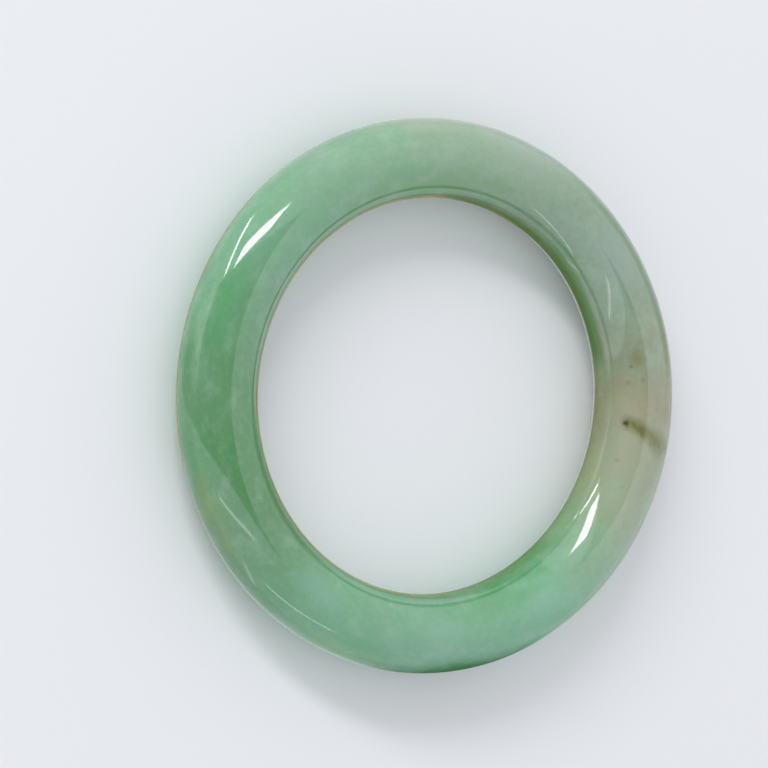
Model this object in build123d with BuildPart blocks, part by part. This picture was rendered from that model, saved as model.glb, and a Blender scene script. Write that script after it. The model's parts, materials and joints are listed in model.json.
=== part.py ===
from build123d import *
import os

# Stone bangle: one unbroken ring, cut and ground from a single block, with a nearly round bar.
# It lies flat as it would on a table. The hole runs along +Z, and the origin is the ring's
# centre, on the plane that the ring rests on. All sizes are in millimetres.

inner_diameter = 57.0  # the hole at its narrowest, which is the size that a bangle is sold by
bar_thickness = 11.5  # the bar from the hole out to the rim
bar_width = 11.7  # the bar along the wrist, which is the ring's height when it lies flat

# The middle of the bar runs round the hole on a circle, half a bar's width above the table.
bar_middle_radius = (inner_diameter + bar_thickness) / 2
bar_middle_height = bar_width / 2

with BuildPart() as bangle:
    with BuildSketch(Plane.XZ) as bar_section:
        with Locations((bar_middle_radius, bar_middle_height)):
            Ellipse(bar_thickness / 2, bar_width / 2)
    revolve(axis=Axis.Z)

bangle.part.label = "bangle"
os.makedirs("parts", exist_ok=True)
export_step(bangle.part, "parts/bangle.step")

print("outer diameter", inner_diameter + 2 * bar_thickness, "height", bar_width)
print("volume in cubic millimetres", round(bangle.part.volume, 1))
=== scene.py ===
"""Looks of the stone bangle: a hand-polished ring of pale and apple green stone, lying flat."""

import json
import math
import bpy
from mathutils import Matrix, Vector


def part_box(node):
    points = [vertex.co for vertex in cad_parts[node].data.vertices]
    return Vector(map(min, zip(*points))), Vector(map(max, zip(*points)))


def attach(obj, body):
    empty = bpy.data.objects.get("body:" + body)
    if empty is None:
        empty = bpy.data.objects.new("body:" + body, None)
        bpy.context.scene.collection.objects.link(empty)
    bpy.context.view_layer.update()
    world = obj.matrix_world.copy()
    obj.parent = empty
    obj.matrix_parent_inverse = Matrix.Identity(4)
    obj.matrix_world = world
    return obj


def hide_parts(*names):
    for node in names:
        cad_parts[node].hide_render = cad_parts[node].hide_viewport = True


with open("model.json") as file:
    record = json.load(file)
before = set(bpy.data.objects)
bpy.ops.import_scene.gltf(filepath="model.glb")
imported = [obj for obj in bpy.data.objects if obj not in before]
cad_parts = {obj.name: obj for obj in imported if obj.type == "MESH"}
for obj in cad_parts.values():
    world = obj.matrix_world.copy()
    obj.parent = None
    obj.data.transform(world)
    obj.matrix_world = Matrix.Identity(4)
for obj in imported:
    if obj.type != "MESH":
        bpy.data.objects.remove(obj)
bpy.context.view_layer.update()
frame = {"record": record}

# ---------------------------------------------------------------- sizes, in metres, from the frame
MM = 0.001
ring_low, ring_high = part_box("bangle")
hole_radius = frame["record"]["mounts"][0]["dims"]["r_mm"] * MM
rim_radius = ring_high.x
middle_radius = (rim_radius + hole_radius) / 2
half_thickness = (rim_radius - hole_radius) / 2
half_width = (ring_high.z - ring_low.z) / 2
ring_centre = Vector((0.0, 0.0, ring_low.z + half_width))

# The ring angle runs from +X towards +Y. The bar angle is 0 on the rim, 90 on top and 180 in the hole.
RING_STEPS = 480
BAR_STEPS = 144


# ---------------------------------------------------------------- the ring's shape
def ground_by_hand(ring_angle, bar_angle):
    """How far the wheel left the surface from a true round bar, in metres outwards."""
    oval = 0.11 * math.cos(2 * ring_angle + math.radians(80))
    three_sided = 0.04 * math.cos(3 * ring_angle + 0.6)
    thick_and_thin = (oval + three_sided) * math.cos(bar_angle) ** 2
    flats = 0.006 * math.sin(7 * ring_angle + bar_angle + 0.5)
    flats += 0.003 * math.sin(13 * ring_angle - 2 * bar_angle + 1.7)
    return (thick_and_thin + flats * max(0.0, 0.4 + 0.6 * math.sin(bar_angle))) * MM


def surface_point(ring_angle, bar_angle):
    """Where the polished surface is, with the grinding counted in."""
    extra = ground_by_hand(ring_angle, bar_angle)
    out = middle_radius + (half_thickness + extra) * math.cos(bar_angle)
    height = ring_centre.z + (half_width + extra) * math.sin(bar_angle)
    return Vector((out * math.cos(ring_angle), out * math.sin(ring_angle), height))


def lay_out_in_strips(mesh):
    """A UV map that cuts the ring into equal lengths and lays them side by side, in rows."""
    columns, rows, margin = 3, 2, 0.01
    steps = RING_STEPS // (columns * rows)
    layer = mesh.uv_layers.new(name="OFBake")
    for face in mesh.polygons:
        i, j = divmod(face.index, BAR_STEPS)
        row, column = divmod(i // steps, columns)
        along = i % steps
        corners = ((along, j), (along + 1, j), (along + 1, j + 1), (along, j + 1))
        for loop, (u, v) in zip(face.loop_indices, corners):
            u = margin + u / steps * (1 - 2 * margin)
            v = margin + v / BAR_STEPS * (1 - 2 * margin)
            layer.data[loop].uv = ((column + u) / columns, (row + v) / rows)


def make_ring():
    """One closed skin of four-sided faces that meets itself round the ring and round the bar."""
    vertices, faces = [], []
    for i in range(RING_STEPS):
        for j in range(BAR_STEPS):
            vertices.append(surface_point(i * math.tau / RING_STEPS, j * math.tau / BAR_STEPS))
    for i in range(RING_STEPS):
        after = (i + 1) % RING_STEPS
        for j in range(BAR_STEPS):
            above = (j + 1) % BAR_STEPS
            faces.append((i * BAR_STEPS + j, after * BAR_STEPS + j,
                          after * BAR_STEPS + above, i * BAR_STEPS + above))
    mesh = bpy.data.meshes.new("stone_ring")
    mesh.from_pydata(vertices, [], faces)
    mesh.shade_smooth()
    lay_out_in_strips(mesh)
    ring = bpy.data.objects.new("stone_ring", mesh)
    bpy.context.scene.collection.objects.link(ring)
    return ring


# ---------------------------------------------------------------- short words for shader nodes
class Nodes:
    """Makes and joins nodes in one tree. Inputs may be numbers, vectors, colours or other sockets."""

    def __init__(self, tree):
        self.tree = tree
        tree.nodes.clear()

    def add(self, kind, inputs=None, **settings):
        node = self.tree.nodes.new(kind)
        for name, value in settings.items():
            setattr(node, name, value)
        for name, value in (inputs or {}).items():
            socket = node.inputs[name]
            if isinstance(value, bpy.types.NodeSocket):
                self.tree.links.new(value, socket)
            else:
                socket.default_value = value
        return node

    def math(self, operation, a, b=0.0, c=0.0):
        return self.add("ShaderNodeMath", {0: a, 1: b, 2: c}, operation=operation).outputs[0]

    def dot(self, a, b):
        return self.add("ShaderNodeVectorMath", {0: a, 1: b}, operation="DOT_PRODUCT").outputs["Value"]

    def step(self, value, low, high, to_low=0.0, to_high=1.0):
        """0 below low, 1 above high, smooth between; low may be the greater."""
        node = self.add("ShaderNodeMapRange", {"Value": value, "From Min": low, "From Max": high,
                                               "To Min": to_low, "To Max": to_high},
                        interpolation_type="SMOOTHSTEP")
        return node.outputs["Result"]

    def mix(self, amount, a, b, blend="MIX"):
        """Colour a where the amount is 0 and b where it is 1."""
        node = self.add("ShaderNodeMix", data_type="RGBA", blend_type=blend)
        for index, value in ((0, amount), (6, a), (7, b)):
            socket = node.inputs[index]
            if isinstance(value, bpy.types.NodeSocket):
                self.tree.links.new(value, socket)
            elif index and len(value) == 3:
                socket.default_value = (*value, 1.0)
            else:
                socket.default_value = value
        return node.outputs[2]

    def both(self, *masks):
        """Several masks multiplied, so 1 only where all of them are."""
        result = masks[0]
        for mask in masks[1:]:
            result = self.math("MULTIPLY", result, mask)
        return result


def srgb(red, green, blue):
    """A colour given as a painter reads it, 0 to 255, as the linear light that nodes use."""
    return tuple((v / 255 / 12.92) if v < 11 else ((v / 255 + 0.055) / 1.055) ** 2.4
                 for v in (red, green, blue))


# ---------------------------------------------------------------- the stone
def stone_material():
    """Pale and apple green stone with grey and beige stretches, clouds, a brown stain and specks, and
    painted shade on the hole's wall and the bottom of the rim.
    """
    material = bpy.data.materials.new("jade")
    material.use_nodes = True
    n = Nodes(material.node_tree)
    place = n.add("ShaderNodeTexCoord").outputs["Object"]
    parts = n.add("ShaderNodeSeparateXYZ", {0: place}).outputs
    ring_angle = n.math("ARCTAN2", parts["Y"], parts["X"])
    out = n.math("SQRT", n.math("ADD", n.math("MULTIPLY", parts["X"], parts["X"]),
                                n.math("MULTIPLY", parts["Y"], parts["Y"])))
    out = n.math("SUBTRACT", out, middle_radius)
    up = n.math("SUBTRACT", parts["Z"], ring_centre.z)
    bar_angle = n.math("ARCTAN2", up, out)

    # Noise in ring coordinates, so that clouds are drawn out along the bar and meet where angles wrap.
    def cloud(along_mm, across_mm, detail, seed, roughness=0.5):
        along, across = middle_radius / MM / along_mm, half_width / MM / across_mm
        vector = n.add("ShaderNodeCombineXYZ", {
            "X": n.math("MULTIPLY", n.math("COSINE", ring_angle), along),
            "Y": n.math("MULTIPLY", n.math("SINE", ring_angle), along),
            "Z": n.math("MULTIPLY_ADD", n.math("COSINE", bar_angle), across, seed)}).outputs[0]
        w = n.math("MULTIPLY", n.math("SINE", bar_angle), across)
        return n.add("ShaderNodeTexNoise", {"Vector": vector, "W": w, "Scale": 1.0, "Detail": detail,
                                            "Roughness": roughness}, noise_dimensions="4D").outputs["Fac"]

    big = cloud(14.0, 9.0, 2.0, 3.1)
    middle = cloud(4.5, 3.2, 3.0, 11.7)
    fine = cloud(0.9, 0.8, 3.0, 23.4, 0.6)

    # The colour round the ring.
    turn = n.math("MULTIPLY_ADD", ring_angle, 1 / math.tau, 0.5)
    turn = n.math("ADD", turn, n.math("MULTIPLY", n.math("SUBTRACT", big, 0.5), 0.05))
    ramp = n.add("ShaderNodeValToRGB", {"Fac": turn})
    # degrees round the ring: colour
    stops = [(-180, (95, 153, 102)), (-150, (97, 150, 104)), (-120, (114, 174, 136)),
             (-90, (120, 176, 143)), (-60, (121, 182, 147)), (-42, (142, 182, 148)),
             (-28, (164, 178, 150)), (0, (160, 160, 131)), (12, (150, 161, 137)),
             (25, (143, 165, 143)), (50, (140, 166, 142)), (80, (143, 174, 147)),
             (110, (131, 174, 142)), (140, (116, 172, 134)), (180, (95, 153, 102))]
    band = ramp.color_ramp
    band.interpolation = "EASE"
    while len(band.elements) < len(stops):
        band.elements.new(0.5)
    for element, (degrees, colour) in zip(band.elements, stops):
        element.position = degrees / 360 + 0.5
        element.color = (*srgb(*colour), 1.0)
    colour = ramp.outputs["Color"]

    # Soft clouds, paler and deeper, a greyer haze between them, and the fine mottle of the crystals.
    colour = n.mix(n.step(middle, 0.50, 0.76, 0.0, 0.26), colour, srgb(172, 204, 184))
    colour = n.mix(n.step(middle, 0.50, 0.24, 0.0, 0.26), colour, srgb(84, 156, 100))
    colour = n.mix(n.step(big, 0.50, 0.72, 0.0, 0.20), colour, srgb(150, 164, 158))
    colour = n.mix(n.step(fine, 0.45, 0.70, 0.0, 0.08), colour, srgb(185, 212, 190))
    colour = n.mix(n.step(fine, 0.50, 0.28, 0.0, 0.08), colour, srgb(82, 142, 96))

    # Places on the bar, as chords in millimetres, so that they meet where the angles wrap.
    wander = n.math("MULTIPLY", n.math("SUBTRACT", middle, 0.5), 0.12)
    ring_place = n.math("ADD", ring_angle, n.math("MULTIPLY", n.math("SUBTRACT", fine, 0.5), 0.03))
    bar_place = n.math("ADD", bar_angle, wander)

    def chord(angle, degrees, radius):
        apart = n.math("MULTIPLY", n.math("SUBTRACT", angle, math.radians(degrees)), 0.5)
        return n.math("MULTIPLY", n.math("SINE", apart), 2 * radius / MM)

    def blot(ring_degrees, bar_degrees, long_mm, wide_mm, ragged=0.0):
        """1 in the middle of a soft-edged spot, 0 outside; long is along the ring."""
        along = n.math("DIVIDE", chord(ring_place, ring_degrees, middle_radius), long_mm)
        across = n.math("DIVIDE", chord(bar_place, bar_degrees, half_width), wide_mm)
        off_middle = n.math("SQRT", n.math("ADD", n.math("MULTIPLY", along, along),
                                           n.math("MULTIPLY", across, across)))
        fray = n.math("MULTIPLY", n.math("SUBTRACT", middle, 0.5), ragged)
        return n.step(n.math("ADD", off_middle, fray), 1.0, 0.0)

    # Clouds that stand out, and at 279 degrees a painted shade: degrees round the ring and the bar, half
    # length and width, strength, colour.
    for ring_degrees, bar_degrees, long_mm, wide_mm, strength, cloud_and_shade_colour in (
            (35, 86, 9, 4.5, 0.55, (156, 174, 172)), (46, 160, 15, 3, 0.45, (88, 160, 88)),
            (70, 50, 11, 6, 0.40, (174, 186, 180)), (82, 174, 9, 3.5, 0.45, (66, 132, 62)),
            (90, 12, 13, 5, 0.40, (198, 192, 176)), (96, 136, 21, 4.5, 0.50, (100, 168, 92)),
            (103, 105, 8, 4, 0.30, (110, 172, 118)), (128, 100, 6, 4, 0.30, (112, 176, 130)),
            (160, 60, 8, 4, 0.30, (86, 166, 108)),
            (202, 20, 5, 3.5, 0.45, (138, 158, 84)), (206, 114, 11, 3.5, 0.25, (80, 138, 82)),
            (211, 26, 3.5, 3, 0.40, (138, 158, 84)), (232, 92, 7, 3.5, 0.45, (138, 186, 168)),
            (245, 20, 9, 4, 0.45, (130, 178, 122)), (250, 54, 7, 3.5, 0.45, (92, 172, 118)),
            # (279, 6): dark green at the bottom of the outer rim, painted shade where the upright ring
            # meets its table.
            (268, 92, 7, 4, 0.40, (142, 188, 170)), (279, 6, 17, 5, 0.75, (54, 128, 56)),
            (286, 134, 18, 4.5, 0.50, (94, 164, 104)), (300, 34, 11, 4.5, 0.45, (96, 166, 114)),
            (298, 94, 6, 3, 0.30, (150, 190, 176)), (302, 168, 10, 4.5, 0.60, (80, 158, 92)),
            (347, 134, 15, 6, 0.45, (188, 190, 168))):
        mask = blot(ring_degrees, bar_degrees, long_mm, wide_mm, 1.6)
        colour = n.mix(n.math("MULTIPLY", mask, strength), colour, srgb(*cloud_and_shade_colour))
    # Painted shade: the wall of the hole is darkened, most near its middle, and is greenest on the upper
    # right.
    shaded_hole_wall = n.math("COSINE", n.math("SUBTRACT", bar_place, math.radians(186)))
    colour = n.mix(n.step(shaded_hole_wall, 0.50, 0.82), colour, (0.90, 0.93, 0.89), "MULTIPLY")
    colour = n.mix(n.step(shaded_hole_wall, 0.84, 0.97), colour, (0.90, 0.93, 0.86), "MULTIPLY")
    # Deeper green on the upper right of the hole's wall, partly the stone's own green and partly painted
    # shade.
    deep_green_and_shade = n.both(n.step(shaded_hole_wall, 0.90, 0.985),
                  n.step(n.math("COSINE", n.math("SUBTRACT", ring_place, math.radians(58))), 0.60, 0.72))
    colour = n.mix(n.math("MULTIPLY", deep_green_and_shade, 0.7), colour, srgb(54, 128, 52))
    # Brown stain that runs across the bar to a dark dot. Its line leans, and it reaches less far
    # to each side, in millimetres, near the dot.
    line = n.step(bar_place, math.radians(60), math.radians(135), math.radians(-12.3), math.radians(-7.8))
    off_line = n.math("ABSOLUTE", n.math("SUBTRACT", ring_place, line))
    off_line = n.math("MULTIPLY", off_line, middle_radius / MM)
    reach = n.step(bar_place, math.radians(55), math.radians(125), 2.5, 1.8)
    stain = n.both(n.step(n.math("DIVIDE", off_line, reach), 1.0, 0.0),
                   n.step(bar_place, math.radians(45), math.radians(95), 0.60, 0.90),
                   n.step(bar_place, math.radians(42), math.radians(54)),
                   n.step(bar_place, math.radians(142), math.radians(124)),
                   n.step(fine, 0.38, 0.60, 0.72, 1.0))
    colour = n.mix(stain, colour, srgb(114, 114, 46))
    colour = n.mix(n.math("MULTIPLY", blot(-8.1, 129, 0.75, 0.70), 0.9), colour, srgb(60, 50, 16))
    # Tan bloom beside it, the olive patch and the specks.
    colour = n.mix(n.math("MULTIPLY", blot(-4.5, 56, 2.8, 2.4), 0.50), colour, srgb(150, 134, 86))
    colour = n.mix(n.math("MULTIPLY", blot(9.3, 112, 2.3, 2.0), 0.65), colour, srgb(132, 134, 82))
    for ring_degrees, bar_degrees, size, strength in (
            (7.4, 122, 0.42, 0.60), (3.4, 107, 0.6, 0.25), (3.0, 128, 0.6, 0.30),
            (-18.5, 131, 0.7, 0.28), (-12.3, 48, 0.9, 0.55)):
        speck = n.math("MULTIPLY", blot(ring_degrees, bar_degrees, size, size), strength)
        colour = n.mix(speck, colour, srgb(104, 104, 50))

    grain = n.add("ShaderNodeTexNoise", {"Vector": place, "Scale": 2600.0, "Detail": 3.0}).outputs["Fac"]
    height = n.math("ADD", n.math("MULTIPLY", fine, 0.6), n.math("MULTIPLY", grain, 0.4))
    bump = n.add("ShaderNodeBump", {"Height": height, "Strength": 0.014, "Distance": 0.0002}).outputs[0]
    rough = n.step(fine, 0.3, 0.7, 0.05, 0.07)

    shader = n.add("ShaderNodeBsdfPrincipled", {
        "Base Color": colour, "Roughness": rough, "IOR": 1.66, "Normal": bump,
        "Subsurface Weight": 0.85, "Subsurface Radius": (0.9, 1.2, 0.9), "Subsurface Scale": 0.0012})
    n.add("ShaderNodeOutputMaterial", {"Surface": shader.outputs[0]})
    return material


# ---------------------------------------------------------------- floor, light and camera
def floor_material():
    """Plain pale matt board with a very faint mottle."""
    material = bpy.data.materials.new("pale_floor")
    material.use_nodes = True
    n = Nodes(material.node_tree)
    place = n.add("ShaderNodeTexCoord").outputs["Object"]
    mottle = n.add("ShaderNodeTexNoise", {"Vector": place, "Scale": 9.0, "Detail": 2.0}).outputs["Fac"]
    colour = n.mix(mottle, (0.85, 0.87, 0.91), (0.87, 0.89, 0.93))
    shader = n.add("ShaderNodeBsdfPrincipled", {
        "Base Color": colour, "Roughness": n.step(mottle, 0.3, 0.7, 0.5, 0.6), "Specular IOR Level": 0.15})
    n.add("ShaderNodeOutputMaterial", {"Surface": shader.outputs[0]})
    return material


def make_floor():
    """A plain square under the ring."""
    side = 40 * rim_radius
    corners = [(-side, -side, 0), (side, -side, 0), (side, side, 0), (-side, side, 0)]
    mesh = bpy.data.meshes.new("floor")
    mesh.from_pydata(corners, [], [(0, 1, 2, 3)])
    floor = bpy.data.objects.new("floor", mesh)
    bpy.context.scene.collection.objects.link(floor)
    mesh.materials.append(floor_material())
    # The polish mirrors the painted tent and not this floor, which would hide the low strip light.
    floor.visible_glossy = False


# Directions are from the ring outwards. The tent's own table faces this way, nearly +Y.
TABLE_UP = Vector((-0.132, 0.971, 0.198))
# The two strip lights: where each is, which way its long side runs, half its length and width in radians.
STRIPS = {
    "wide_strip": (Vector((-0.454, 0.697, 0.555)), Vector((0.471, 0.0, 0.40)), 0.285, 0.072),
    "thin_strip": (Vector((-0.667, 0.744, -0.046)), Vector((-0.281, -0.218, 0.412)), 0.25, 0.026),
}
STRIP_RADIANCE = 15.0
# How bright the strips' mirror images are.
WIDE_IMAGE = 15.0
THIN_IMAGE = 14.0
# The table and the block that the ring stands on and leans on when it is shown upright.
PROP_UP = Vector((-0.128, 0.964, 0.235)).normalized()
PROP_LEFT = Vector((-0.376, 0.172, -0.911))
PROP_LEFT = (PROP_LEFT - PROP_LEFT.dot(PROP_UP) * PROP_UP).normalized()
LIGHT_DISTANCE = 1.5


def axes_towards(direction, along):
    """The direction, and the two directions square to it of which the first is nearest to along."""
    back = direction.normalized()
    side = (along - along.dot(back) * back).normalized()
    return back, side, back.cross(side)


def make_lights():
    """The strips as lights. Their mirror images in the polish are painted in the tent, softer-edged."""
    for name, (direction, along, half_long, half_short) in STRIPS.items():
        data = bpy.data.lights.new(name, "AREA")
        data.shape = "RECTANGLE"
        data.size = 2 * half_long * LIGHT_DISTANCE
        data.size_y = 2 * half_short * LIGHT_DISTANCE
        data.energy = STRIP_RADIANCE * math.pi * data.size * data.size_y
        light = bpy.data.objects.new(name, data)
        back, side, over = axes_towards(direction, along)
        turn = Matrix((side, over, back)).transposed().to_4x4()
        light.matrix_world = Matrix.Translation(ring_centre + back * LIGHT_DISTANCE) @ turn
        light.visible_camera = False
        light.visible_glossy = False
        bpy.context.scene.collection.objects.link(light)


def make_tent():
    """A white light tent with a dark opening at the front, where the camera looks in."""
    world = bpy.data.worlds.new("light_tent")
    bpy.context.scene.world = world
    world.use_nodes = True
    n = Nodes(world.node_tree)
    towards = n.add("ShaderNodeTexCoord").outputs["Generated"]
    parts = n.add("ShaderNodeSeparateXYZ", {0: towards}).outputs

    def strip(direction, along, half_long, half_short, soft=0.018):
        back, side, over = axes_towards(Vector(direction), Vector(along))
        beside = n.math("ABSOLUTE", n.dot(towards, tuple(side)))
        above = n.math("ABSOLUTE", n.dot(towards, tuple(over)))
        return n.both(n.step(beside, half_long + 2 * soft, half_long - 2 * soft),
                      n.step(above, half_short + soft, half_short - soft),
                      n.step(n.dot(towards, tuple(back)), 0.0, 0.1))

    over_table = n.dot(towards, tuple(TABLE_UP))
    walls = n.mix(n.step(over_table, -0.1, 0.1), (1.05, 1.12, 1.22), (1.1, 1.1, 1.1))
    walls = n.mix(n.step(parts["Z"], -0.20, -0.45), walls, (0.72, 0.75, 0.80))
    # The wall on the -X side is lit from above.
    low_wall = n.both(n.step(parts["X"], -0.5, -0.7), n.step(parts["Z"], 0.1, 0.05),
                      n.step(over_table, -0.08, -0.06), n.step(over_table, 0.42, 0.05))
    walls = n.mix(n.math("MULTIPLY", low_wall, 0.8), walls, (0.1, 0.12, 0.1))
    opening = n.both(n.step(parts["X"], 0.24, 0.23),
                     n.step(parts["Z"], 0.05, 0.06),
                     n.step(over_table, -0.095, -0.085),
                     n.step(n.dot(towards, (0.506, 0.793, -0.342)), 0.03, 0.01))
    painted = n.mix(opening, walls, (0.18, 0.18, 0.18))
    # A dim soft-edged stand at the +X side.
    stand = n.both(n.step(parts["X"], 0.74, 0.84),
                   n.step(parts["Y"], -0.06, 0.06),
                   n.step(parts["Y"], 0.54, 0.38),
                   n.step(parts["Z"], -0.44, -0.28),
                   n.step(parts["Z"], 0.22, 0.02))
    painted = n.mix(n.math("MULTIPLY", stand, 0.85), painted, (0.32, 0.34, 0.23))
    # The strips' images, and three fainter and thinner glints on the table's side: each one's
    # direction, long side, half length and half width, then its radiance.
    glints = ((STRIPS["wide_strip"], WIDE_IMAGE), (STRIPS["thin_strip"], THIN_IMAGE),
              (((-0.232, -0.937, 0.259), (0.443, -0.046, 0.273), 0.26, 0.016), 5.0),
              (((-0.507, -0.825, -0.225), (0.186, -0.019, -0.346), 0.19, 0.02), 2.5),
              (((-0.566, -0.547, 0.617), (0.514, 0.013, 0.505), 0.36, 0.014), 4.5))
    for place, radiance in glints:
        painted = n.mix(strip(*place), painted, (radiance, radiance, radiance))

    ray = n.add("ShaderNodeLightPath").outputs
    seen = n.mix(ray["Is Glossy Ray"], (0.73, 0.73, 0.74), painted)
    seen = n.mix(ray["Is Camera Ray"], seen, (0.78, 0.80, 0.84))
    light = n.add("ShaderNodeBackground", {"Color": seen, "Strength": 1.0})
    n.add("ShaderNodeOutputWorld", {"Surface": light.outputs[0]})


def card_material(left, right, up, corner):
    """A glow that stands for lit bare wood, with painted light and shade: its top is palest and the end of
    its right side is darkest.
    """
    material = bpy.data.materials.new("wood_card")
    material.use_nodes = True
    material.cycles.emission_sampling = "NONE"
    n = Nodes(material.node_tree)
    facing = n.add("ShaderNodeNewGeometry").outputs["True Normal"]
    place = n.add("ShaderNodeTexCoord").outputs["Object"]
    grain = n.add("ShaderNodeTexNoise", {"Vector": place, "Scale": 260.0, "Detail": 3.0}).outputs["Fac"]
    past_corner = n.math("SUBTRACT", n.dot(place, tuple(right)), corner.dot(right))
    # Painted light and shade on the wood: a shaded right side, darkest at its end, and a pale lit top.
    shaded_right_side = n.mix(n.step(past_corner, 0.5 * middle_radius, 0.75 * middle_radius),
                       (0.50, 0.40, 0.27), (0.28, 0.20, 0.11))
    colour = n.mix(n.step(n.dot(facing, tuple(-left)), 0.4, 0.6), (0.58, 0.45, 0.30), shaded_right_side)
    colour = n.mix(n.step(n.dot(facing, tuple(up)), 0.4, 0.6), colour, (0.68, 0.55, 0.38))
    glow = n.add("ShaderNodeEmission", {"Color": colour, "Strength": n.step(grain, 0.3, 0.7, 0.75, 1.25)})
    n.add("ShaderNodeOutputMaterial", {"Surface": glow.outputs[0]})
    return material


def make_wood_card():
    """The block that the ring leans on when it is shown upright. Here only the polish mirrors it."""
    up, left, right = PROP_UP, PROP_LEFT, PROP_LEFT.cross(PROP_UP)
    length, depth, height = 3.2 * middle_radius, 1.02 * middle_radius, 2.13 * middle_radius
    corner = ring_centre + Vector((-0.283, 1.017, -0.123)) * middle_radius
    vertices = [corner + left * length * a + right * depth * b - up * height * c
                for a in (0, 1) for b in (0, 1) for c in (0, 1)]
    faces = [(0, 1, 3, 2), (4, 6, 7, 5), (0, 4, 5, 1), (2, 3, 7, 6), (0, 2, 6, 4), (1, 5, 7, 3)]
    mesh = bpy.data.meshes.new("wood_card")
    mesh.from_pydata(vertices, [], faces)
    mesh.materials.append(card_material(left, right, up, corner))
    stage_for_reflections(mesh)


def make_thin_strip_card(camera):
    """The thin strip again, near the ring, for the part of the hole's wall where the ring hides it.

    It stands where the camera's line of sight goes after that part of the wall mirrors it.
    """
    material = bpy.data.materials.new("thin_strip_card")
    material.use_nodes = True
    n = Nodes(material.node_tree)
    from_behind = n.add("ShaderNodeNewGeometry").outputs["Backfacing"]
    glow = n.add("ShaderNodeEmission", {"Strength": THIN_IMAGE})
    clear = n.add("ShaderNodeBsdfTransparent")
    mix = n.add("ShaderNodeMixShader", {0: from_behind, 1: glow.outputs[0], 2: clear.outputs[0]})
    n.add("ShaderNodeOutputMaterial", {"Surface": mix.outputs[0]})
    material.cycles.emission_sampling = "NONE"

    reach = 1.3 * middle_radius
    ends = []
    # degrees round the ring and the bar, for each end of the highlight
    for ring_degrees, bar_degrees in ((-36.0, 150.0), (-27.5, 145.5)):
        ring_angle, bar_angle = math.radians(ring_degrees), math.radians(bar_degrees)
        point = surface_point(ring_angle, bar_angle)
        flat = math.cos(bar_angle)
        normal = Vector((flat * math.cos(ring_angle), flat * math.sin(ring_angle), math.sin(bar_angle)))
        sight = (point - camera.location).normalized()
        ends.append(point + reach * (sight - 2 * sight.dot(normal) * normal))
    low, high = ends
    highlight = surface_point(math.radians(-32), math.radians(148))
    towards_wall = highlight - (low + high) / 2
    wide = (high - low).cross(towards_wall).normalized() * 0.034 * middle_radius
    corners = [low - 0.5 * wide, high - wide, high + wide, low + 0.5 * wide]
    mesh = bpy.data.meshes.new("thin_strip_card")
    mesh.from_pydata(corners, [], [(0, 3, 2, 1)])
    mesh.materials.append(material)
    stage_for_reflections(mesh)


def make_shadow_card():
    """The soft shadow of the upright ring on its table."""
    material = bpy.data.materials.new("shadow_card")
    material.use_nodes = True
    n = Nodes(material.node_tree)
    place = n.add("ShaderNodeTexCoord").outputs["UV"]
    from_middle = n.add("ShaderNodeVectorMath", {0: place, 1: (0.5, 0.5, 0.0)}, operation="DISTANCE")
    shade = n.step(from_middle.outputs["Value"], 0.5, 0.15)
    clear = n.add("ShaderNodeBsdfTransparent")
    dark = n.add("ShaderNodeEmission", {"Color": (0.06, 0.09, 0.06, 1.0), "Strength": 1.0})
    mix = n.add("ShaderNodeMixShader", {0: shade, 1: clear.outputs[0], 2: dark.outputs[0]})
    n.add("ShaderNodeOutputMaterial", {"Surface": mix.outputs[0]})
    material.cycles.emission_sampling = "NONE"

    middle = ring_centre + Vector((0.16, -1.155, -0.04)) * middle_radius
    along = Vector((1.0, 0.0, 0.0))
    along = (along - along.dot(PROP_UP) * PROP_UP).normalized() * 0.60 * middle_radius
    across = PROP_UP.cross(along).normalized() * 0.28 * middle_radius
    corners = [middle - along - across, middle + along - across,
               middle + along + across, middle - along + across]
    mesh = bpy.data.meshes.new("shadow_card")
    mesh.from_pydata(corners, [], [(0, 1, 2, 3)])
    layer = mesh.uv_layers.new(name="UVMap")
    for loop, uv in enumerate(((0, 0), (1, 0), (1, 1), (0, 1))):
        layer.data[loop].uv = uv
    mesh.materials.append(material)
    stage_for_reflections(mesh)


def stage_for_reflections(mesh):
    """Puts a card on the stage that only the polish mirrors."""
    card = bpy.data.objects.new(mesh.name, mesh)
    for seen_by in ("visible_camera", "visible_diffuse", "visible_transmission", "visible_shadow"):
        setattr(card, seen_by, False)
    bpy.context.scene.collection.objects.link(card)


def make_camera():
    """Looks down on the ring from its -X side, 29 degrees off its axis, with +Y up in the picture."""
    tilt, roll = math.radians(28.6), 0.026
    distance = 20 * middle_radius
    # how far the ring's middle is from the picture's middle, as shares of the distance
    aside, below = 0.00964, 0.0025
    axis = Vector((math.sin(tilt), -math.sin(roll) * math.cos(tilt), math.cos(roll) * math.cos(tilt)))
    right = Vector((1.0, 0.0, 0.0))
    ring_x = (right - right.dot(axis) * axis).normalized()
    ring_y = axis.cross(ring_x)
    # rows: the ring's axes in camera coordinates (x right, y up, z backwards), so it turns camera to ring
    turn = Matrix((ring_x, ring_y, axis))
    centre_in_camera = Vector((aside * distance, -below * distance, -distance))
    data = bpy.data.cameras.new("camera")
    data.sensor_width = 36.0
    data.lens = 223.1
    data.clip_start = 0.01
    camera = bpy.data.objects.new("camera", data)
    camera.matrix_world = Matrix.Translation(ring_centre - turn @ centre_in_camera) @ turn.to_4x4()
    bpy.context.scene.collection.objects.link(camera)
    bpy.context.scene.camera = camera
    return camera


ring = make_ring()
ring.data.materials.append(stone_material())
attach(ring, "root")
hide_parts("bangle")
make_floor()
make_lights()
make_tent()
make_wood_card()
make_shadow_card()
make_thin_strip_card(make_camera())
bpy.context.scene.view_settings.view_transform = "Standard"
